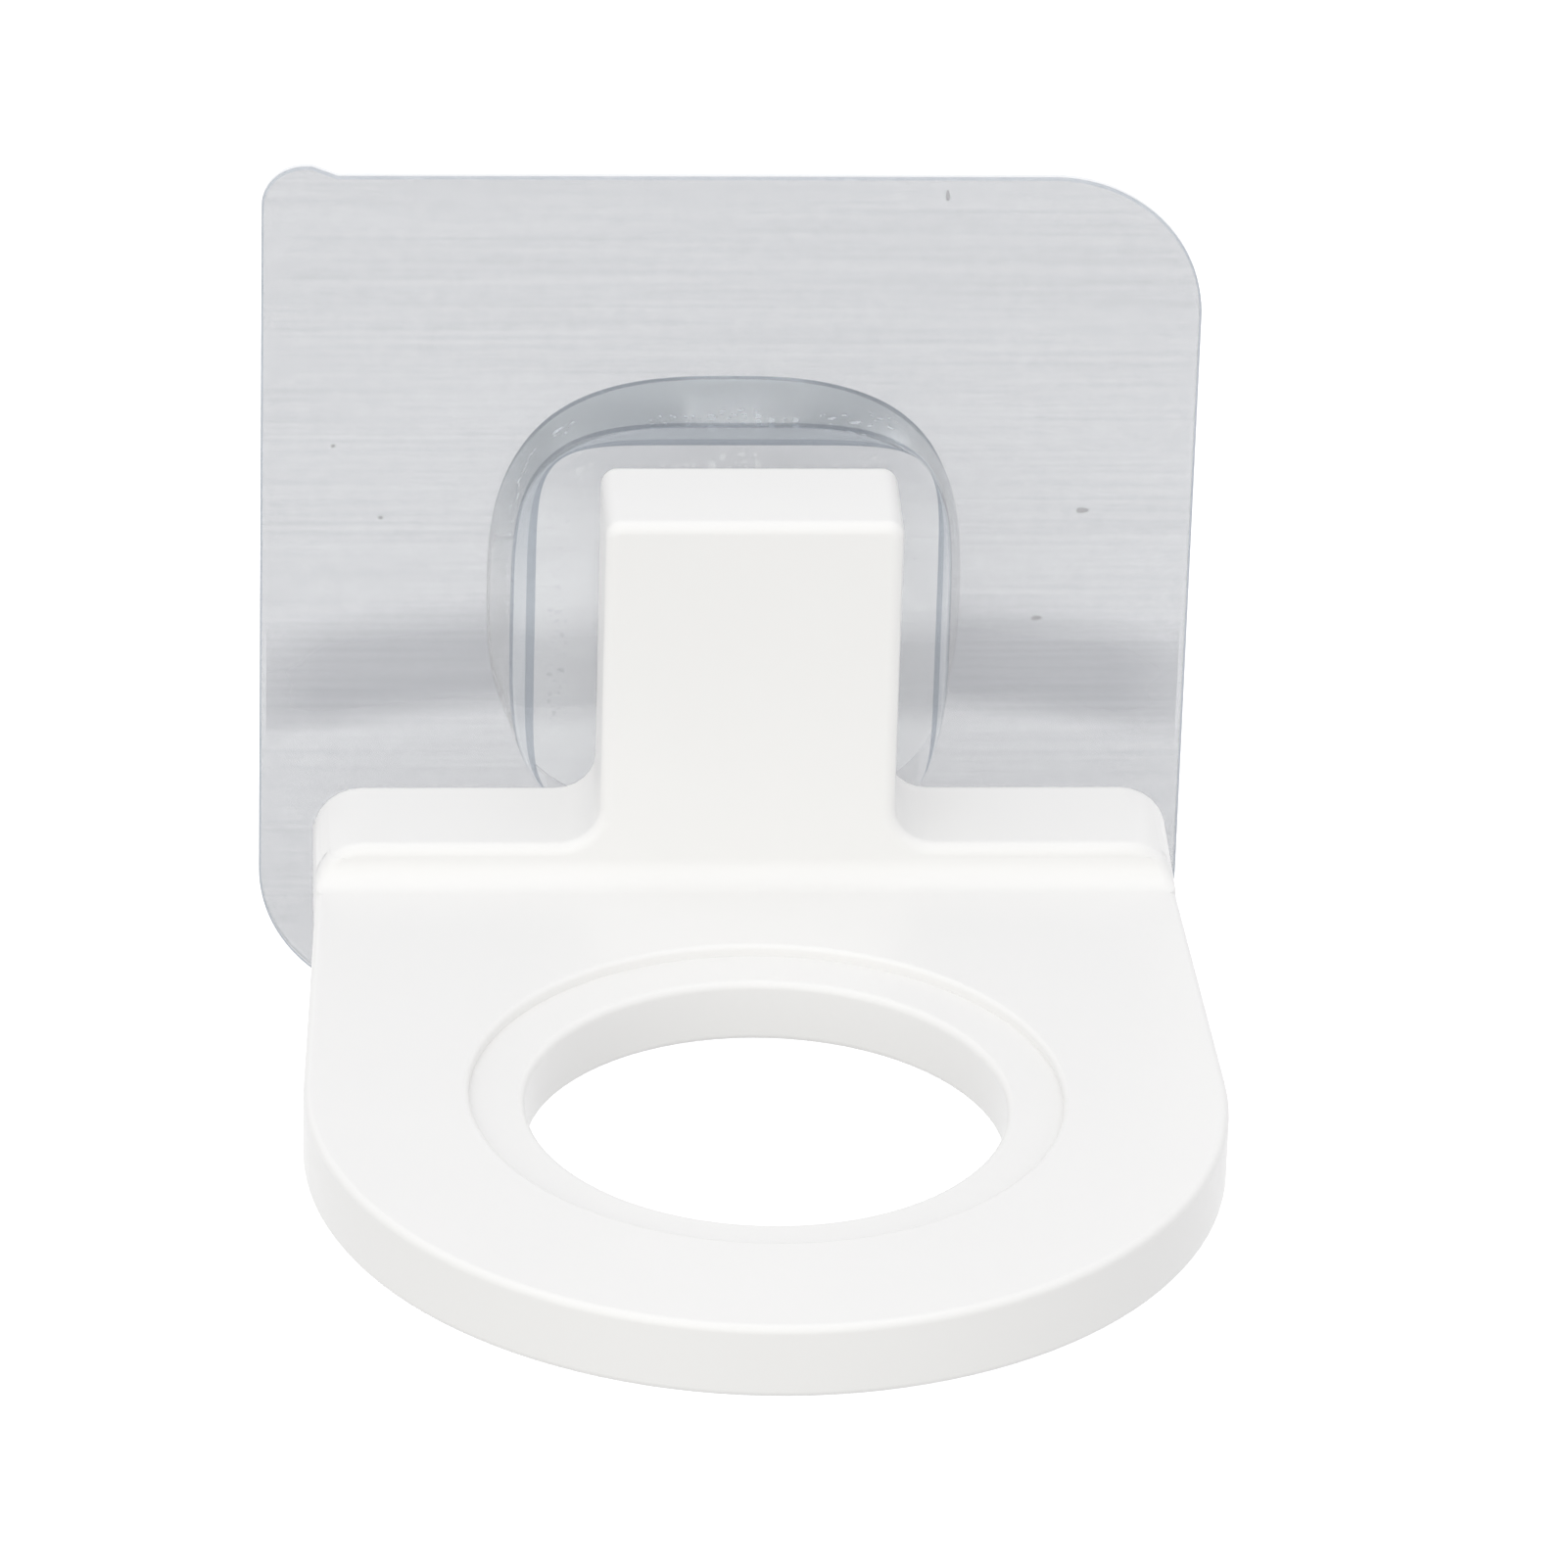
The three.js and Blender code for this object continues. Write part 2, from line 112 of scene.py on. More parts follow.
# Material slots of the seat, after its polished skin, and of a sheet
WETTED, DRY_BACK, FLANK, EDGE_BAND, EDGE_LINE = range(1, 6)
SHEET_FACE, SHEET_RIM = range(2)

# Strips of the seat's back where it clings to the film in spots, as (left, right, low, high, count, widest)
CLING_STRIPS = [
    (-5.8 * MM, -1.4 * MM, 10.9 * MM, 12.6 * MM, 16, 0.8 * MM),
    (-1.4 * MM, 2.2 * MM, 10.9 * MM, 13.4 * MM, 14, 0.8 * MM),
    (2.2 * MM, 11 * MM, 10.8 * MM, 12.6 * MM, 16, 0.6 * MM),
    (9.4 * MM, 11.2 * MM, 12.4 * MM, 14.2 * MM, 4, 0.6 * MM),
    (-11.6 * MM, -10.2 * MM, 11 * MM, 12.6 * MM, 5, 0.7 * MM),
    (-13.3 * MM, -12 * MM, -9.5 * MM, 11 * MM, 60, 0.5 * MM),
    (13.6 * MM, 14.4 * MM, -9.5 * MM, 9 * MM, 18, 0.35 * MM),
]
CLING_SEED = 11
CLING_TRIES = 40
CLING_SMALLEST = 0.3
CLING_SIZE_POWER = 1.5
CLING_SPACING = 1.5
CLING_POINTS = 10
CLING_UNEVENNESS = (0.25, 0.15)

# Dust in the film, as (x, z, width, height)
SPECKS = [
    (15.73 * MM, 33.29 * MM, 0.35 * MM, 0.8 * MM),
    (26.69 * MM, 7.24 * MM, 1.1 * MM, 0.4 * MM),
    (23.56 * MM, -1.87 * MM, 0.9 * MM, 0.35 * MM),
    (-29.6 * MM, 12.6 * MM, 0.35 * MM, 0.3 * MM),
    (-26.0 * MM, 6.6 * MM, 0.4 * MM, 0.25 * MM),
]
SPECK_SEED = 5
SPECK_THICKNESS = 0.04 * MM
SPECK_SUBDIVISIONS = 2
SPECK_UNEVENNESS = (0.16, 0.1)

# T-shaped rail on the seat's face
RAIL_X = 1.1 * MM
RAIL_NECK_HALF = 4 * MM
RAIL_NECK_DEPTH = 2.2 * MM
RAIL_HEAD_HALF = 6.5 * MM
RAIL_HEAD_DEPTH = 2.2 * MM
RAIL_TOP = 11.75 * MM
RAIL_LENGTH = 22 * MM
RAIL_EDGE_ROUND = 0.2 * MM
RAIL_EDGE_STEPS = 3
RAIL_EDGE_TURN = 0.5
RAIL_DEPTH_TOLERANCE = 0.1 * MM

# Meshes: angles in degrees above which an edge is sharp, and how a CAD node's triangles are joined
HOLDER_SHARP = 35
SEAT_SHARP = 50
SHEET_SHARP = 60
NEVER_SHARP = 180
FLAT_FACE_WEIGHT = 80
WELD_DISTANCE = 1e-6
FLAT_ANGLE = math.radians(0.05)

# Finishes: pairs run from the low to the high end of a pattern, grain is in waves per metre on each axis
NOISE_SPAN = (0.3, 0.7)
FULL_SPAN = (0.0, 1.0)
PLASTIC_COLOURS = ((0.87, 0.867, 0.857), (0.89, 0.886, 0.876))
PLASTIC_ROUGHNESS = (0.29, 0.35)
PLASTIC_FLOW_GRAIN = (60, 60, 60)
PLASTIC_SKIN_GRAIN = (900, 900, 900)
PLASTIC_SKIN_HEIGHT = 0.001 * MM

SHEET_IOR = 1.46
FILM_COLOURS = ((0.384, 0.399, 0.434), (0.458, 0.473, 0.508))
FILM_ALPHA = (0.40, 0.386)
FILM_ROUGHNESS = (0.14, 0.24)
FILM_LINE_GRAIN = (40, 2400, 2400)
FILM_BAND_GRAIN = (12, 260, 260)
FILM_LINE_SHARE = 0.75
FILM_SHADE_SPAN = (0.34, 0.66)
FILM_LINE_HEIGHT = 0.003 * MM
FILM_LINE_STRENGTH = 0.15

RIM_COLOURS = ((0.34, 0.39, 0.45), (0.46, 0.50, 0.56))
RIM_GRAIN = (900, 900, 900)
FILM_RIM_ALPHA = 0.6
LINER_RIM_ALPHA = 0.35

GEL_COLOURS = ((0.50, 0.50, 0.52), (0.56, 0.57, 0.60))
GEL_CLOUD_GRAIN = (30, 400, 400)
GEL_CLOUD_SHARE = (0.8, 1.0)
GEL_CLEAR_ALPHA = 0.012
# Painted shade: a soft dark arch across the lower half of the pad, laid into the gel's alpha
PAINTED_SHADE_ALPHA = 0.56
SHADE_ARCH_BOW = 2.6
SHADE_ARCH_UPPER = (1.5 * MM, -4 * MM)
SHADE_ARCH_LOWER = (-10 * MM, -6.5 * MM)
SHADE_ARCH_ENDS = (30 * MM, 35 * MM)
SHADE_ARCH_END_SHARE = (1.0, 0.5)

LINER_COLOURS = ((0.80, 0.82, 0.84), (0.88, 0.90, 0.92))
LINER_FROST_GRAIN = (700, 700, 700)
LINER_ALPHA = (0.1, 0.14)
LINER_ROUGHNESS = (0.3, 0.45)

SEAT_TINT = (0.985, 0.99, 0.995)
# Painted shade: the seat's back and flank darken towards its top, from a start height up to a common end
# height
SEAT_BACK_PAINTED_SHADE_TOP = (0.66, 0.67, 0.69)
SEAT_FLANK_PAINTED_SHADE_TOP = (0.72, 0.78, 0.82)
# Painted shade: a darker bluish band and dark lines in the seat's edge rounds, darker still towards its top
EDGE_BAND_PAINTED_SHADE = (0.86, 0.89, 0.92)
EDGE_BAND_PAINTED_SHADE_TOP = (0.48, 0.53, 0.58)
EDGE_LINE_PAINTED_SHADE = (0.44, 0.49, 0.55)
EDGE_LINE_PAINTED_SHADE_TOP = (0.30, 0.35, 0.41)
SEAT_WAVE_GRAIN = (180, 180, 180)
SEAT_WAVE_STRENGTH = 0.5
PAINTED_SHADE_RISE_END = 13 * MM
BACK_PAINTED_SHADE_START = 5 * MM
WETTED_COLOURS = ((0.95, 0.96, 0.965), (0.985, 0.99, 0.99))
BOND_COLOURS = ((0.96, 0.97, 0.975), (0.99, 0.993, 0.995))
GLUE_CLOUD_GRAIN = (200, 200, 200)

SPECK_COLOURS = ((0.30, 0.29, 0.30), (0.45, 0.44, 0.44))
SPECK_GRAIN = (3000, 3000, 3000)

# Sockets of a colour mix node
MIX_FACTOR, MIX_FIRST, MIX_SECOND, MIX_RESULT = 0, 6, 7, 2


# Meshes
def mesh_from(bm, name, sharp_angle):
    """Finish a bmesh: outward normals, smooth faces and edges sharp above an angle."""
    bmesh.ops.recalc_face_normals(bm, faces=bm.faces)
    mesh = bpy.data.meshes.new(name)
    bm.to_mesh(mesh)
    bm.free()
    mesh.shade_smooth()
    mesh.set_sharp_from_angle(angle=math.radians(sharp_angle))
    return mesh


def keep_flats_flat(piece):
    """Let large flat faces rule the shading of the rounds beside them."""
    modifier = piece.modifiers.new("flat_faces", "WEIGHTED_NORMAL")
    modifier.keep_sharp = True
    modifier.weight = FLAT_FACE_WEIGHT


def arc(centre, radius, start, turn, steps):
    return [
        centre + radius * Vector((math.cos(start + turn * i / steps), math.sin(start + turn * i / steps)))
        for i in range(steps + 1)
    ]


def rounded_polygon(corners):
    """Outline of a polygon whose corners are given as (x, z, radius)."""
    points = []
    for index, (x, z, radius) in enumerate(corners):
        corner = Vector((x, z))
        back = (Vector(corners[index - 1][:2]) - corner).normalized()
        ahead = (Vector(corners[(index + 1) % len(corners)][:2]) - corner).normalized()
        opening = math.acos(back.dot(ahead))
        centre = corner + (back + ahead).normalized() * (radius / math.sin(opening / 2))
        first = corner + back * (radius / math.tan(opening / 2)) - centre
        turn = math.copysign(math.pi - opening, ahead.x * back.y - ahead.y * back.x)
        steps = max(FEWEST_OUTLINE_STEPS, round(abs(turn) / OUTLINE_STEP))
        points += arc(centre, radius, math.atan2(first.y, first.x), turn, steps)
    return points


def tabbed_outline():
    """The pad's outline, with the pull tab at its upper left corner."""
    x = PAD_WIDTH / 2
    z = PAD_HEIGHT / 2
    return rounded_polygon([
        (-x, -z, PAD_CORNER),
        (x, -z, PAD_CORNER),
        (x, z, PAD_CORNER),
        (-x + TAB_LENGTH, z, TAB_NOTCH_CORNER),
        (-x + TAB_LENGTH - TAB_SLOPE, z + TAB_RISE, TAB_NOTCH_CORNER),
        (-x, z + TAB_RISE, TAB_OUTER_CORNER),
    ])


def plain_outline(margin):
    """The pad's outline without the tab, drawn in by a margin."""
    x = PAD_WIDTH / 2 - margin
    z = PAD_HEIGHT / 2 - margin
    radius = PAD_CORNER - margin
    return rounded_polygon([(-x, -z, radius), (x, -z, radius), (x, z, radius), (-x, z, radius)])


def drawn_in(outline, distance):
    """The outline moved inwards by a small distance."""
    moved = []
    count = len(outline)
    for i, point in enumerate(outline):
        run = outline[(i + 1) % count] - outline[i - 1]
        inward = Vector((-run.y, run.x)).normalized()
        moved.append(point + inward * distance)
    return moved


def bridge(bm, low, high, slot):
    """A row of faces between two rings of equally many points."""
    count = len(low)
    for i in range(count):
        j = (i + 1) % count
        bm.faces.new((low[i], low[j], high[j], high[i])).material_index = slot


def edges_of(bm, ring):
    return [bm.edges.get((ring[i - 1], ring[i])) for i in range(len(ring))]


def ring_of(bm, outline, depth):
    return [bm.verts.new((point.x, -depth, point.y)) for point in outline]


def sheet_mesh(name, outline, back, front, edge_round=SHEET_EDGE_ROUND, border=0):
    """A flat sheet between two depths, with a finely rounded rim. A border gives the rim its own slot."""
    bm = bmesh.new()
    inner = drawn_in(outline, edge_round)
    rings = [
        ring_of(bm, inner, back),
        ring_of(bm, outline, back + edge_round),
        ring_of(bm, outline, front - edge_round),
        ring_of(bm, inner, front),
    ]
    if border:
        rings.append(ring_of(bm, drawn_in(outline, border), front))
    for low, high in zip(rings, rings[1:]):
        bridge(bm, low, high, SHEET_RIM if border else SHEET_FACE)
    bm.faces.new(rings[0])
    bm.faces.new(rings[-1])
    return mesh_from(bm, name, SHEET_SHARP)


def superellipse(size, squareness):
    """Outline round the seat's middle; the higher the squareness, the tighter its four corners."""
    points = []
    for i in range(SEAT_RING_POINTS):
        angle = (i + 0.5) * 2 * math.pi / SEAT_RING_POINTS
        across, up = math.cos(angle), math.sin(angle)
        x = math.copysign(abs(across) ** (2 / squareness), across)
        z = math.copysign(abs(up) ** (2 / squareness), up)
        points.append(Vector((SEAT_X + x * size.x / 2, SEAT_Z + z * size.y / 2)))
    return points


def bond_outline():
    return superellipse(BOND_SIZE, SEAT_FACE_SQUARENESS)


def seat_flank():
    """Section of the flank as (share of the way in, depth): foot, lip, slope and rounded front edge."""
    full = (SEAT_BASE.x - SEAT_FACE.x) / 2
    lip = Vector((0, SEAT_LIP_DEPTH))
    round_start = Vector((full - SEAT_EDGE_ROUND, SEAT_DEPTH))
    slope = (round_start - lip).normalized()
    flank_end = round_start - slope * SEAT_EDGE_ROUND
    foot = Vector((SEAT_FOOT_ROUND, SEAT_FOOT_ROUND))
    section = arc(foot, SEAT_FOOT_ROUND, -math.pi / 2, -math.pi / 2, FOOT_STEPS)
    section += [lip.lerp(flank_end, i / SLOPE_STEPS) for i in range(SLOPE_STEPS)]
    edge = Vector((full, SEAT_DEPTH))
    for i in range(EDGE_ROUND_STEPS + 1):
        t = i / EDGE_ROUND_STEPS
        section.append((1 - t) ** 2 * flank_end + 2 * t * (1 - t) * round_start + t * t * edge)
    return [(point.x / full, point.y) for point in section]


def flank_slots():
    """Material slot of each row of faces between the points of the flank's section."""
    # The edge-line rows and the edge band carry painted shade: dark lines at the foot and at both ends of the
    # front edge's round, with a darker band between
    rows = [
        (EDGE_LINE, FOOT_STEPS + 1),
        (FLANK, SLOPE_STEPS),
        (EDGE_LINE, EDGE_LINE_STEPS),
        (EDGE_BAND, EDGE_ROUND_STEPS - 2 * EDGE_LINE_STEPS),
        (EDGE_LINE, EDGE_LINE_STEPS),
    ]
    return [slot for slot, count in rows for _ in range(count)]


def add_rail(bm, face_depth):
    """Walls of the T-shaped rail. Returns the edges of its open foot on the seat's face."""
    neck_front = face_depth + RAIL_NECK_DEPTH
    head_front = neck_front + RAIL_HEAD_DEPTH
    plan = [
        (-RAIL_NECK_HALF, face_depth),
        (-RAIL_NECK_HALF, neck_front),
        (-RAIL_HEAD_HALF, neck_front),
        (-RAIL_HEAD_HALF, head_front),
        (RAIL_HEAD_HALF, head_front),
        (RAIL_HEAD_HALF, neck_front),
        (RAIL_NECK_HALF, neck_front),
        (RAIL_NECK_HALF, face_depth),
    ]
    low, high = (
        [bm.verts.new((RAIL_X + x, -depth, level)) for x, depth in plan]
        for level in (RAIL_TOP - RAIL_LENGTH, RAIL_TOP)
    )
    walls = [bm.faces.new((low[i], low[i + 1], high[i + 1], high[i])) for i in range(len(plan) - 1)]
    ends = [bm.faces.new(low), bm.faces.new(high)]
    outer = {edge for face in walls + ends for edge in face.edges if len(edge.link_faces) == 2}
    foot = [edge for face in walls + ends for edge in face.edges if len(edge.link_faces) == 1]
    head_start = neck_front - RAIL_DEPTH_TOLERANCE
    head_edges = [
        edge for edge in outer
        if all(-vert.co.y > head_start for vert in edge.verts) and edge.calc_face_angle(0) > RAIL_EDGE_TURN
    ]
    bmesh.ops.bevel(
        bm, geom=head_edges, offset=RAIL_EDGE_ROUND, segments=RAIL_EDGE_STEPS, profile=0.5, affect="EDGES",
    )
    return foot


def uneven(angle, wave, unevenness):
    """Relative radius of an uneven round outline."""
    second, third = unevenness
    return 1 + second * math.sin(2 * angle + wave) + third * math.sin(3 * angle - wave)


def cling_outlines():
    """Uneven spots scattered over the cling strips, none of which touch."""
    draw = random.Random(CLING_SEED)
    spots = []
    for left, right, low, high, count, widest in CLING_STRIPS:
        wanted = len(spots) + count
        for _ in range(count * CLING_TRIES):
            radius = draw.uniform(CLING_SMALLEST, 1) ** CLING_SIZE_POWER * widest / 2
            middle = Vector((draw.uniform(left, right), draw.uniform(low, high)))
            wave = draw.uniform(0, 2 * math.pi)
            apart = all(
                (middle - other).length > CLING_SPACING * (radius + reach) for other, reach, _ in spots
            )
            if apart and len(spots) < wanted:
                spots.append((middle, radius, wave))
    outlines = []
    for middle, radius, wave in spots:
        outline = []
        for i in range(CLING_POINTS):
            angle = 2 * math.pi * i / CLING_POINTS
            reach = radius * uneven(angle, wave, CLING_UNEVENNESS)
            outline.append(middle + reach * Vector((math.cos(angle), math.sin(angle))))
        outlines.append(outline)
    return outlines


def seat_mesh():
    """Seat and rail as one clear moulding."""
    bm = bmesh.new()
    rings = []
    for share, depth in seat_flank():
        size = SEAT_BASE.lerp(SEAT_FACE, share)
        softness = (1 - share) / SEAT_BASE_SQUARENESS + share / SEAT_FACE_SQUARENESS
        shift = Vector(((share - 1) * SEAT_BASE_SHIFT_LEFT, 0))
        outline = [point + shift for point in superellipse(size, 1 / softness)]
        rings.append(ring_of(bm, outline, SEAT_BACK + depth))
    for low, high, slot in zip(rings, rings[1:], flank_slots()):
        bridge(bm, low, high, slot)
    foot_edges = edges_of(bm, rings[0])
    for outline in [bond_outline()] + cling_outlines():
        patch = bm.faces.new(ring_of(bm, outline, SEAT_BACK))
        patch.material_index = WETTED
        foot_edges += patch.edges
    filled = bmesh.ops.triangle_fill(bm, edges=foot_edges, use_beauty=True)["geom"]
    for face in filled:
        if isinstance(face, bmesh.types.BMFace):
            face.material_index = DRY_BACK
    rail_foot = add_rail(bm, SEAT_BACK + SEAT_DEPTH)
    bmesh.ops.triangle_fill(bm, edges=edges_of(bm, rings[-1]) + rail_foot, use_beauty=True)
    return mesh_from(bm, "seat_block", SEAT_SHARP)


def welded_copy(name, cad_node, sharp_angle):
    """A smooth-shaded copy of a CAD node, whose triangles come in unjoined."""
    bm = bmesh.new()
    bm.from_mesh(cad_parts[cad_node].data)
    bmesh.ops.remove_doubles(bm, verts=bm.verts, dist=WELD_DISTANCE)
    bmesh.ops.dissolve_limit(bm, angle_limit=FLAT_ANGLE, verts=bm.verts, edges=bm.edges)
    return mesh_from(bm, name, sharp_angle)


def speck_mesh():
    """Small flat lumps with uneven rims in the film's front."""
    draw = random.Random(SPECK_SEED)
    bm = bmesh.new()
    for x, z, width, height in SPECKS:
        lump = bmesh.ops.create_icosphere(bm, subdivisions=SPECK_SUBDIVISIONS, radius=0.5)["verts"]
        wave = draw.uniform(0, 2 * math.pi)
        for vert in lump:
            swell = uneven(math.atan2(vert.co.z, vert.co.x), wave, SPECK_UNEVENNESS)
            vert.co = Vector((
                x + vert.co.x * width * swell,
                -FILM_FRONT + vert.co.y * SPECK_THICKNESS,
                z + vert.co.z * height * swell,
            ))
    return mesh_from(bm, "film_specks", NEVER_SHARP)


# Materials
def feed(tree, socket, value):
    """Link an input to another node's output, or set it to a plain value."""
    if isinstance(value, bpy.types.NodeSocket):
        tree.links.new(value, socket)
    else:
        socket.default_value = value


def node(tree, kind, settings=None, **inputs):
    """Add a shader node with its settings and inputs."""
    made = tree.nodes.new(kind)
    for key, value in (settings or {}).items():
        setattr(made, key, value)
    for key, value in inputs.items():
        feed(tree, made.inputs[key.replace("_", " ")], value)
    return made


def maths(tree, operation, *values):
    made = node(tree, "ShaderNodeMath", {"operation": operation})
    for socket, value in zip(made.inputs, values):
        feed(tree, socket, value)
    return made.outputs[0]


def remap(tree, value, span, to_span, smooth=False):
    made = node(
        tree, "ShaderNodeMapRange", {"interpolation_type": "SMOOTHSTEP" if smooth else "LINEAR"},
        Value=value, From_Min=span[0], From_Max=span[1], To_Min=to_span[0], To_Max=to_span[1],
    )
    return made.outputs["Result"]


def mix_shaders(tree, factor, first, second):
    made = node(tree, "ShaderNodeMixShader")
    for socket, value in zip(made.inputs, (factor, first, second)):
        tree.links.new(value, socket)
    return made.outputs[0]


def new_material(name, **inputs):
    """A Principled material with plain values on its sockets."""
    material = bpy.data.materials.new(name)
    material.use_nodes = True
    tree = material.node_tree
    shader = tree.nodes["Principled BSDF"]
    for key, value in inputs.items():
        shader.inputs[key.replace("_", " ")].default_value = value
    return material, tree, shader


def object_place(tree):
    return node(tree, "ShaderNodeTexCoord").outputs["Object"]


def noise(tree, grain, detail):
    """Noise in the piece's own coordinates, with a grain per axis."""
    stretch = node(tree, "ShaderNodeMapping", Vector=object_place(tree), Scale=grain)
    made = node(
        tree, "ShaderNodeTexNoise",
        Vector=stretch.outputs["Vector"], Scale=1.0, Detail=detail, Roughness=0.5,
    )
    return made.outputs["Fac"]


def two_colours(tree, factor, colours):
    made = node(tree, "ShaderNodeMix", {"data_type": "RGBA"})
    tree.links.new(factor, made.inputs[MIX_FACTOR])
    for index, colour in zip((MIX_FIRST, MIX_SECOND), colours):
        made.inputs[index].default_value = (*colour, 1)
    return made.outputs[MIX_RESULT]


def bump(tree, shader, height, distance, strength=1.0):
    made = node(tree, "ShaderNodeBump", Height=height, Distance=distance, Strength=strength)
    tree.links.new(made.outputs["Normal"], shader.inputs["Normal"])


def white_plastic():
    """Glossy moulded plastic: faint flow marks in the colour and a skin that isn't quite even."""
    material, tree, shader = new_material("white_plastic", Specular_IOR_Level=0.4, IOR=1.5)
    flow = noise(tree, PLASTIC_FLOW_GRAIN, detail=3.0)
    tree.links.new(two_colours(tree, flow, PLASTIC_COLOURS), shader.inputs["Base Color"])
    skin = noise(tree, PLASTIC_SKIN_GRAIN, detail=3.0)
    tree.links.new(remap(tree, skin, NOISE_SPAN, PLASTIC_ROUGHNESS), shader.inputs["Roughness"])
    bump(tree, shader, skin, PLASTIC_SKIN_HEIGHT)
    return material


def film_clear():
    """Grey see-through film with fine level lines."""
    material, tree, shader = new_material("film_clear", IOR=SHEET_IOR, Specular_IOR_Level=0.5)
    lines = noise(tree, FILM_LINE_GRAIN, detail=1.0)
    bands = noise(tree, FILM_BAND_GRAIN, detail=2.0)
    band_part = maths(tree, "MULTIPLY", bands, 1 - FILM_LINE_SHARE)
    mixed = maths(tree, "MULTIPLY_ADD", lines, FILM_LINE_SHARE, band_part)
    shade = remap(tree, mixed, FILM_SHADE_SPAN, FULL_SPAN)
    tree.links.new(two_colours(tree, shade, FILM_COLOURS), shader.inputs["Base Color"])
    tree.links.new(remap(tree, shade, FULL_SPAN, FILM_ALPHA), shader.inputs["Alpha"])
    tree.links.new(remap(tree, lines, NOISE_SPAN, FILM_ROUGHNESS), shader.inputs["Roughness"])
    bump(tree, shader, lines, FILM_LINE_HEIGHT, FILM_LINE_STRENGTH)
    return material


def cut_edge(name, alpha):
    """Cut rim of a clear sheet, where light is caught and it looks darker and bluer."""
    material, tree, shader = new_material(name, IOR=SHEET_IOR, Roughness=0.25, Alpha=alpha)
    nicks = noise(tree, RIM_GRAIN, detail=1.0)
    tree.links.new(two_colours(tree, nicks, RIM_COLOURS), shader.inputs["Base Color"])
    return material


def adhesive_clear():
    """Clear gel, with painted shade: a soft dark arch across the lower half of the pad, made by raising its
    alpha.
    """
    material, tree, shader = new_material(
        "adhesive_clear", IOR=SHEET_IOR, Specular_IOR_Level=0.1, Roughness=0.35,
    )
    place = node(tree, "ShaderNodeSeparateXYZ", Vector=object_place(tree)).outputs
    across = place["X"]
    bowed = maths(tree, "MULTIPLY_ADD", maths(tree, "MULTIPLY", across, across), SHADE_ARCH_BOW, place["Z"])
    upper = remap(tree, bowed, SHADE_ARCH_UPPER, FULL_SPAN, smooth=True)
    lower = remap(tree, bowed, SHADE_ARCH_LOWER, FULL_SPAN, smooth=True)
    ends = remap(tree, maths(tree, "ABSOLUTE", across), SHADE_ARCH_ENDS, SHADE_ARCH_END_SHARE)
    arch = maths(tree, "MULTIPLY", maths(tree, "MULTIPLY", upper, lower), ends)
    cloud = noise(tree, GEL_CLOUD_GRAIN, detail=2.0)
    # painted shade: the arch, broken up by the cloud, makes the grey gel less clear
    painted_shade = maths(tree, "MULTIPLY", arch, remap(tree, cloud, NOISE_SPAN, GEL_CLOUD_SHARE))
    alpha = maths(tree, "MULTIPLY_ADD", painted_shade, PAINTED_SHADE_ALPHA, GEL_CLEAR_ALPHA)
    tree.links.new(alpha, shader.inputs["Alpha"])
    tree.links.new(two_colours(tree, cloud, GEL_COLOURS), shader.inputs["Base Color"])
    return material


def liner_clear():
    """Thin release sheet, faintly frosted."""
    material, tree, shader = new_material("liner_clear", IOR=SHEET_IOR, Specular_IOR_Level=0.4)
    frost = noise(tree, LINER_FROST_GRAIN, detail=2.0)
    tree.links.new(two_colours(tree, frost, LINER_COLOURS), shader.inputs["Base Color"])
    tree.links.new(remap(tree, frost, NOISE_SPAN, LINER_ALPHA), shader.inputs["Alpha"])
    tree.links.new(remap(tree, frost, NOISE_SPAN, LINER_ROUGHNESS), shader.inputs["Roughness"])
    return material


def seat_clear(name, tint_and_painted_shade, roughest, wave_height, painted_shade_on_top=None, painted_shade_start=0):
    """Clear moulding, very slightly milky, with waves in its skin. Its base colour may be painted shade, and
    painted shade may darken it towards its top.
    """
    material, tree, shader = new_material(name, Transmission_Weight=0.93, IOR=1.49, Base_Color=(*tint_and_painted_shade, 1))
    waves = noise(tree, SEAT_WAVE_GRAIN, detail=2.0)
    # painted shade: darker towards the top of the seat
    if painted_shade_on_top:
        height = node(tree, "ShaderNodeSeparateXYZ", Vector=object_place(tree)).outputs["Z"]
        painted_shade_rise = remap(tree, height, (SEAT_Z + painted_shade_start, SEAT_Z + PAINTED_SHADE_RISE_END), FULL_SPAN, smooth=True)
        tree.links.new(two_colours(tree, painted_shade_rise, (tint_and_painted_shade, painted_shade_on_top)), shader.inputs["Base Color"])
    tree.links.new(remap(tree, waves, NOISE_SPAN, (roughest / 2, roughest)), shader.inputs["Roughness"])
    bump(tree, shader, waves, wave_height, SEAT_WAVE_STRENGTH)
    return material


def glued_clear(name, colours):
    """Clear plastic or glue, wetted on both sides, so light goes straight through with a faint cloud."""
    material, tree, shader = new_material(name, Transmission_Weight=1.0, IOR=1.0, Roughness=0.0)
    cloud = noise(tree, GLUE_CLOUD_GRAIN, detail=3.0)
    tree.links.new(two_colours(tree, cloud, colours), shader.inputs["Base Color"])
    return material


def speck_grey():
    """Dust caught in the film."""
    material, tree, shader = new_material("film_specks", Roughness=0.7, Alpha=0.4)
    grain = noise(tree, SPECK_GRAIN, detail=1.0)
    tree.links.new(two_colours(tree, grain, SPECK_COLOURS), shader.inputs["Base Color"])
    return material


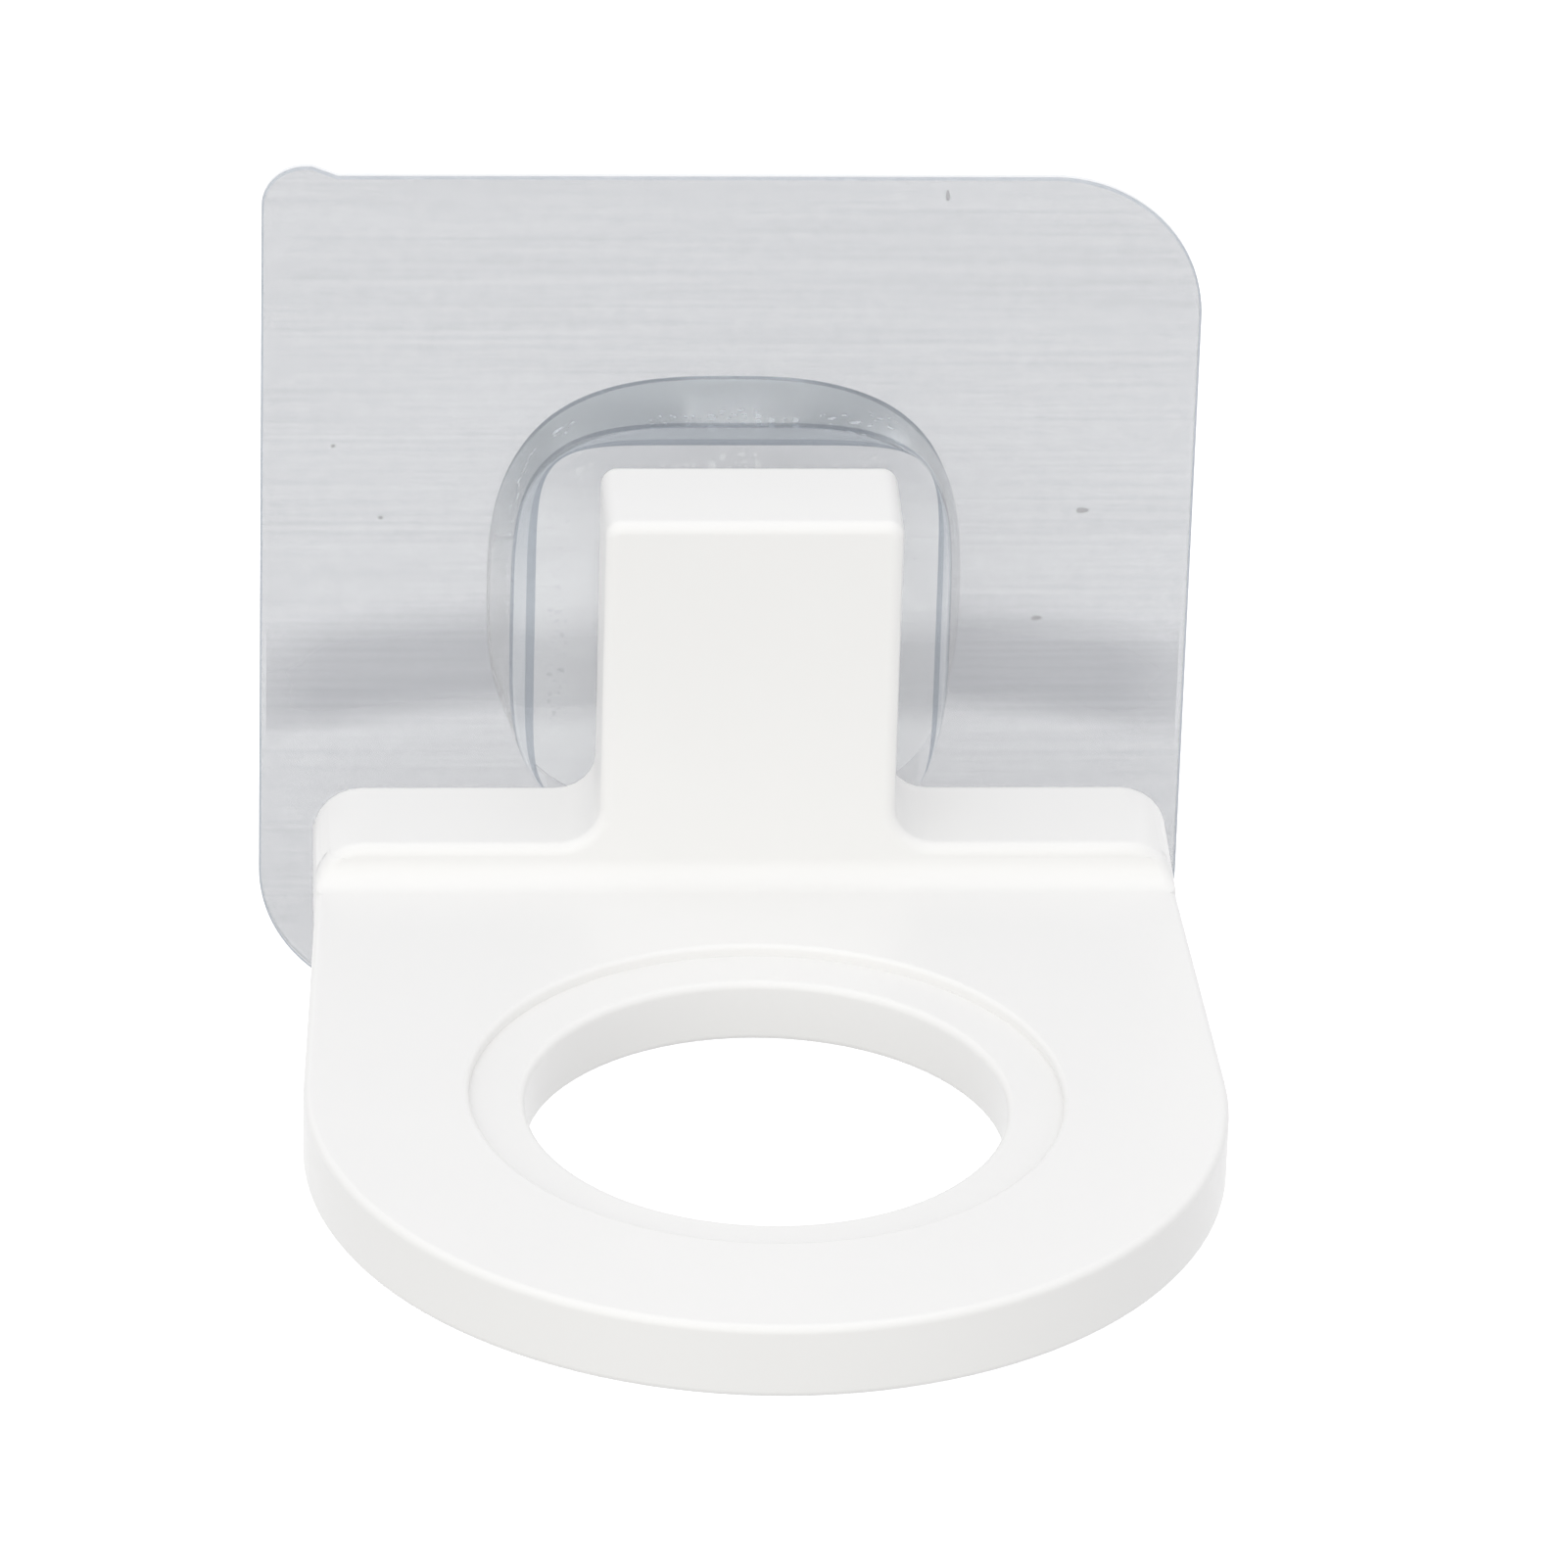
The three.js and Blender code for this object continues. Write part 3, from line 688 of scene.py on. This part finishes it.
def seat_materials():
    """The seat's materials in the order of its slots."""
    return [
        seat_clear("seat_polished", SEAT_TINT, roughest=0.06, wave_height=0.02 * MM),
        glued_clear("seat_wetted", WETTED_COLOURS),
        # painted shade: the dry back darkens towards its top
        seat_clear(
            "seat_back", SEAT_TINT, roughest=0.25, wave_height=0.01 * MM,
            painted_shade_on_top=SEAT_BACK_PAINTED_SHADE_TOP, painted_shade_start=BACK_PAINTED_SHADE_START,
        ),
        seat_clear(
            "seat_flank", SEAT_TINT, roughest=0.06, wave_height=0.02 * MM, painted_shade_on_top=SEAT_FLANK_PAINTED_SHADE_TOP,
        ),
        # painted shade: darker band and dark lines in the edge rounds
        seat_clear(
            "seat_edge_band", EDGE_BAND_PAINTED_SHADE, roughest=0.12, wave_height=0.03 * MM, painted_shade_on_top=EDGE_BAND_PAINTED_SHADE_TOP,
        ),
        seat_clear(
            "seat_edge_line", EDGE_LINE_PAINTED_SHADE, roughest=0.1, wave_height=0.02 * MM, painted_shade_on_top=EDGE_LINE_PAINTED_SHADE_TOP,
        ),
    ]


# Pieces
def add_piece(name, mesh, body, materials):
    """Link a mesh as a piece that rides on a body, with its materials appended in order."""
    piece = bpy.data.objects.new(name, mesh)
    bpy.context.scene.collection.objects.link(piece)
    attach(piece, body)
    for material in materials:
        mesh.materials.append(material)
    return piece


def make_pieces():
    holder_mesh = welded_copy("holder_moulding", "holder", HOLDER_SHARP)
    holder = add_piece("holder_moulding", holder_mesh, "bottle_hanger", [white_plastic()])
    keep_flats_flat(holder)
    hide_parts("holder")

    film_mesh = sheet_mesh("film_sheet", tabbed_outline(), FILM_BACK, FILM_FRONT, border=SHEET_BORDER)
    film_materials = [film_clear(), cut_edge("film_edge", FILM_RIM_ALPHA)]
    film = add_piece("film_sheet", film_mesh, "wall_pad", film_materials)
    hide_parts("carrier_film")

    gel_outline = plain_outline(ADHESIVE_MARGIN)
    gel_mesh = sheet_mesh("adhesive_gel", gel_outline, LINER_FRONT + LAYER_GAP, FILM_BACK - LAYER_GAP)
    gel = add_piece("adhesive_gel", gel_mesh, "wall_pad", [adhesive_clear()])
    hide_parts("adhesive_layer")

    liner_mesh = sheet_mesh("liner_sheet", tabbed_outline(), 0, LINER_FRONT, LINER_EDGE_ROUND, SHEET_BORDER)
    liner_materials = [liner_clear(), cut_edge("liner_edge", LINER_RIM_ALPHA)]
    liner = add_piece("liner_sheet", liner_mesh, "liner", liner_materials)
    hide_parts("release_liner")

    seat = add_piece("seat_block", seat_mesh(), "wall_pad", seat_materials())
    keep_flats_flat(seat)
    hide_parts("seat")

    bond_mesh = sheet_mesh("bond_glue", bond_outline(), FILM_FRONT + LAYER_GAP, SEAT_BACK - LAYER_GAP)
    bond_materials = [glued_clear("bond_clear", BOND_COLOURS)]
    bond = add_piece("bond_glue", bond_mesh, "wall_pad", bond_materials)
    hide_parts("seat_bond")

    specks = add_piece("film_specks", speck_mesh(), "wall_pad", [speck_grey()])

    for piece in (film, gel, liner, seat, bond, specks):
        piece.visible_shadow = False
        piece.visible_diffuse = False


# Scene
def make_camera():
    """Camera at the photograph's viewing angle."""
    ahead = Vector((
        math.sin(CAMERA_YAW) * math.cos(CAMERA_ELEVATION),
        math.cos(CAMERA_YAW) * math.cos(CAMERA_ELEVATION),
        -math.sin(CAMERA_ELEVATION),
    ))
    level = Vector((math.cos(CAMERA_YAW), -math.sin(CAMERA_YAW), 0))
    down = ahead.cross(level)
    right = math.cos(CAMERA_ROLL) * level + math.sin(CAMERA_ROLL) * down
    up = math.sin(CAMERA_ROLL) * level - math.cos(CAMERA_ROLL) * down
    data = bpy.data.cameras.new("photo_camera")
    data.sensor_width = SENSOR_WIDTH
    data.lens = FOCAL_PIXELS / IMAGE_SIZE * SENSOR_WIDTH
    data.clip_start = CAMERA_CLIP_START
    camera = bpy.data.objects.new("photo_camera", data)
    turn = Matrix((right, up, -ahead)).transposed().to_4x4()
    camera.matrix_world = Matrix.Translation(CAMERA_TARGET - CAMERA_DISTANCE * ahead) @ turn
    bpy.context.scene.collection.objects.link(camera)
    bpy.context.scene.camera = camera


def seen_directly(tree):
    """1 for what the camera sees, also by way of a mirror or through glass, and 0 for what only lights."""
    path = node(tree, "ShaderNodeLightPath").outputs
    seen = maths(tree, "MAXIMUM", path["Is Camera Ray"], path["Is Glossy Ray"])
    return maths(tree, "MAXIMUM", seen, path["Is Transmission Ray"])


def make_world():
    """Soft light from all sides, white where it is seen."""
    world = bpy.data.worlds.new("studio")
    bpy.context.scene.world = world
    world.use_nodes = True
    tree = world.node_tree
    lit = tree.nodes["Background"]
    lit.inputs["Color"].default_value = WORLD_COLOUR
    lit.inputs["Strength"].default_value = WORLD_STRENGTH
    white = node(tree, "ShaderNodeBackground", Color=WHITE, Strength=1.0)
    mixed = mix_shaders(tree, seen_directly(tree), lit.outputs[0], white.outputs[0])
    tree.links.new(mixed, tree.nodes["World Output"].inputs["Surface"])


def make_floor():
    """Pale floor well below the part, raised to white where it is seen, with the part's shadow kept.

    Its underside is clear, so that it doesn't hide the part from below.
    """
    bm = bmesh.new()
    bmesh.ops.create_grid(bm, x_segments=FLOOR_CELLS, y_segments=FLOOR_CELLS, size=FLOOR_HALF_WIDTH)
    mesh = bpy.data.meshes.new("floor")
    bm.to_mesh(mesh)
    bm.free()
    floor = bpy.data.objects.new("floor", mesh)
    floor.location.z = FLOOR_LEVEL
    bpy.context.scene.collection.objects.link(floor)
    material, tree, shader = new_material(
        "floor", Base_Color=FLOOR_GREY, Roughness=FLOOR_ROUGHNESS,
        Specular_IOR_Level=0.0, Emission_Color=WHITE,
    )
    glow = maths(tree, "MULTIPLY", seen_directly(tree), FLOOR_GLOW)
    tree.links.new(glow, shader.inputs["Emission Strength"])
    underside = node(tree, "ShaderNodeNewGeometry").outputs["Backfacing"]
    clear = node(tree, "ShaderNodeBsdfTransparent").outputs[0]
    sided = mix_shaders(tree, underside, shader.outputs[0], clear)
    tree.links.new(sided, tree.nodes["Material Output"].inputs["Surface"])
    mesh.materials.append(material)


def make_lamp(name, place, diameter, watts, colour):
    data = bpy.data.lights.new(name, "AREA")
    data.shape = "DISK"
    data.size = diameter
    data.energy = watts
    data.color = colour
    lamp = bpy.data.objects.new(name, data)
    lamp.location = place
    lamp.rotation_euler = (LAMP_AIM - Vector(place)).to_track_quat("-Z", "Y").to_euler()
    bpy.context.scene.collection.objects.link(lamp)


make_camera()
make_world()
make_floor()
for lamp in LAMPS:
    make_lamp(*lamp)
make_pieces()
bpy.context.scene.view_settings.view_transform = "Standard"
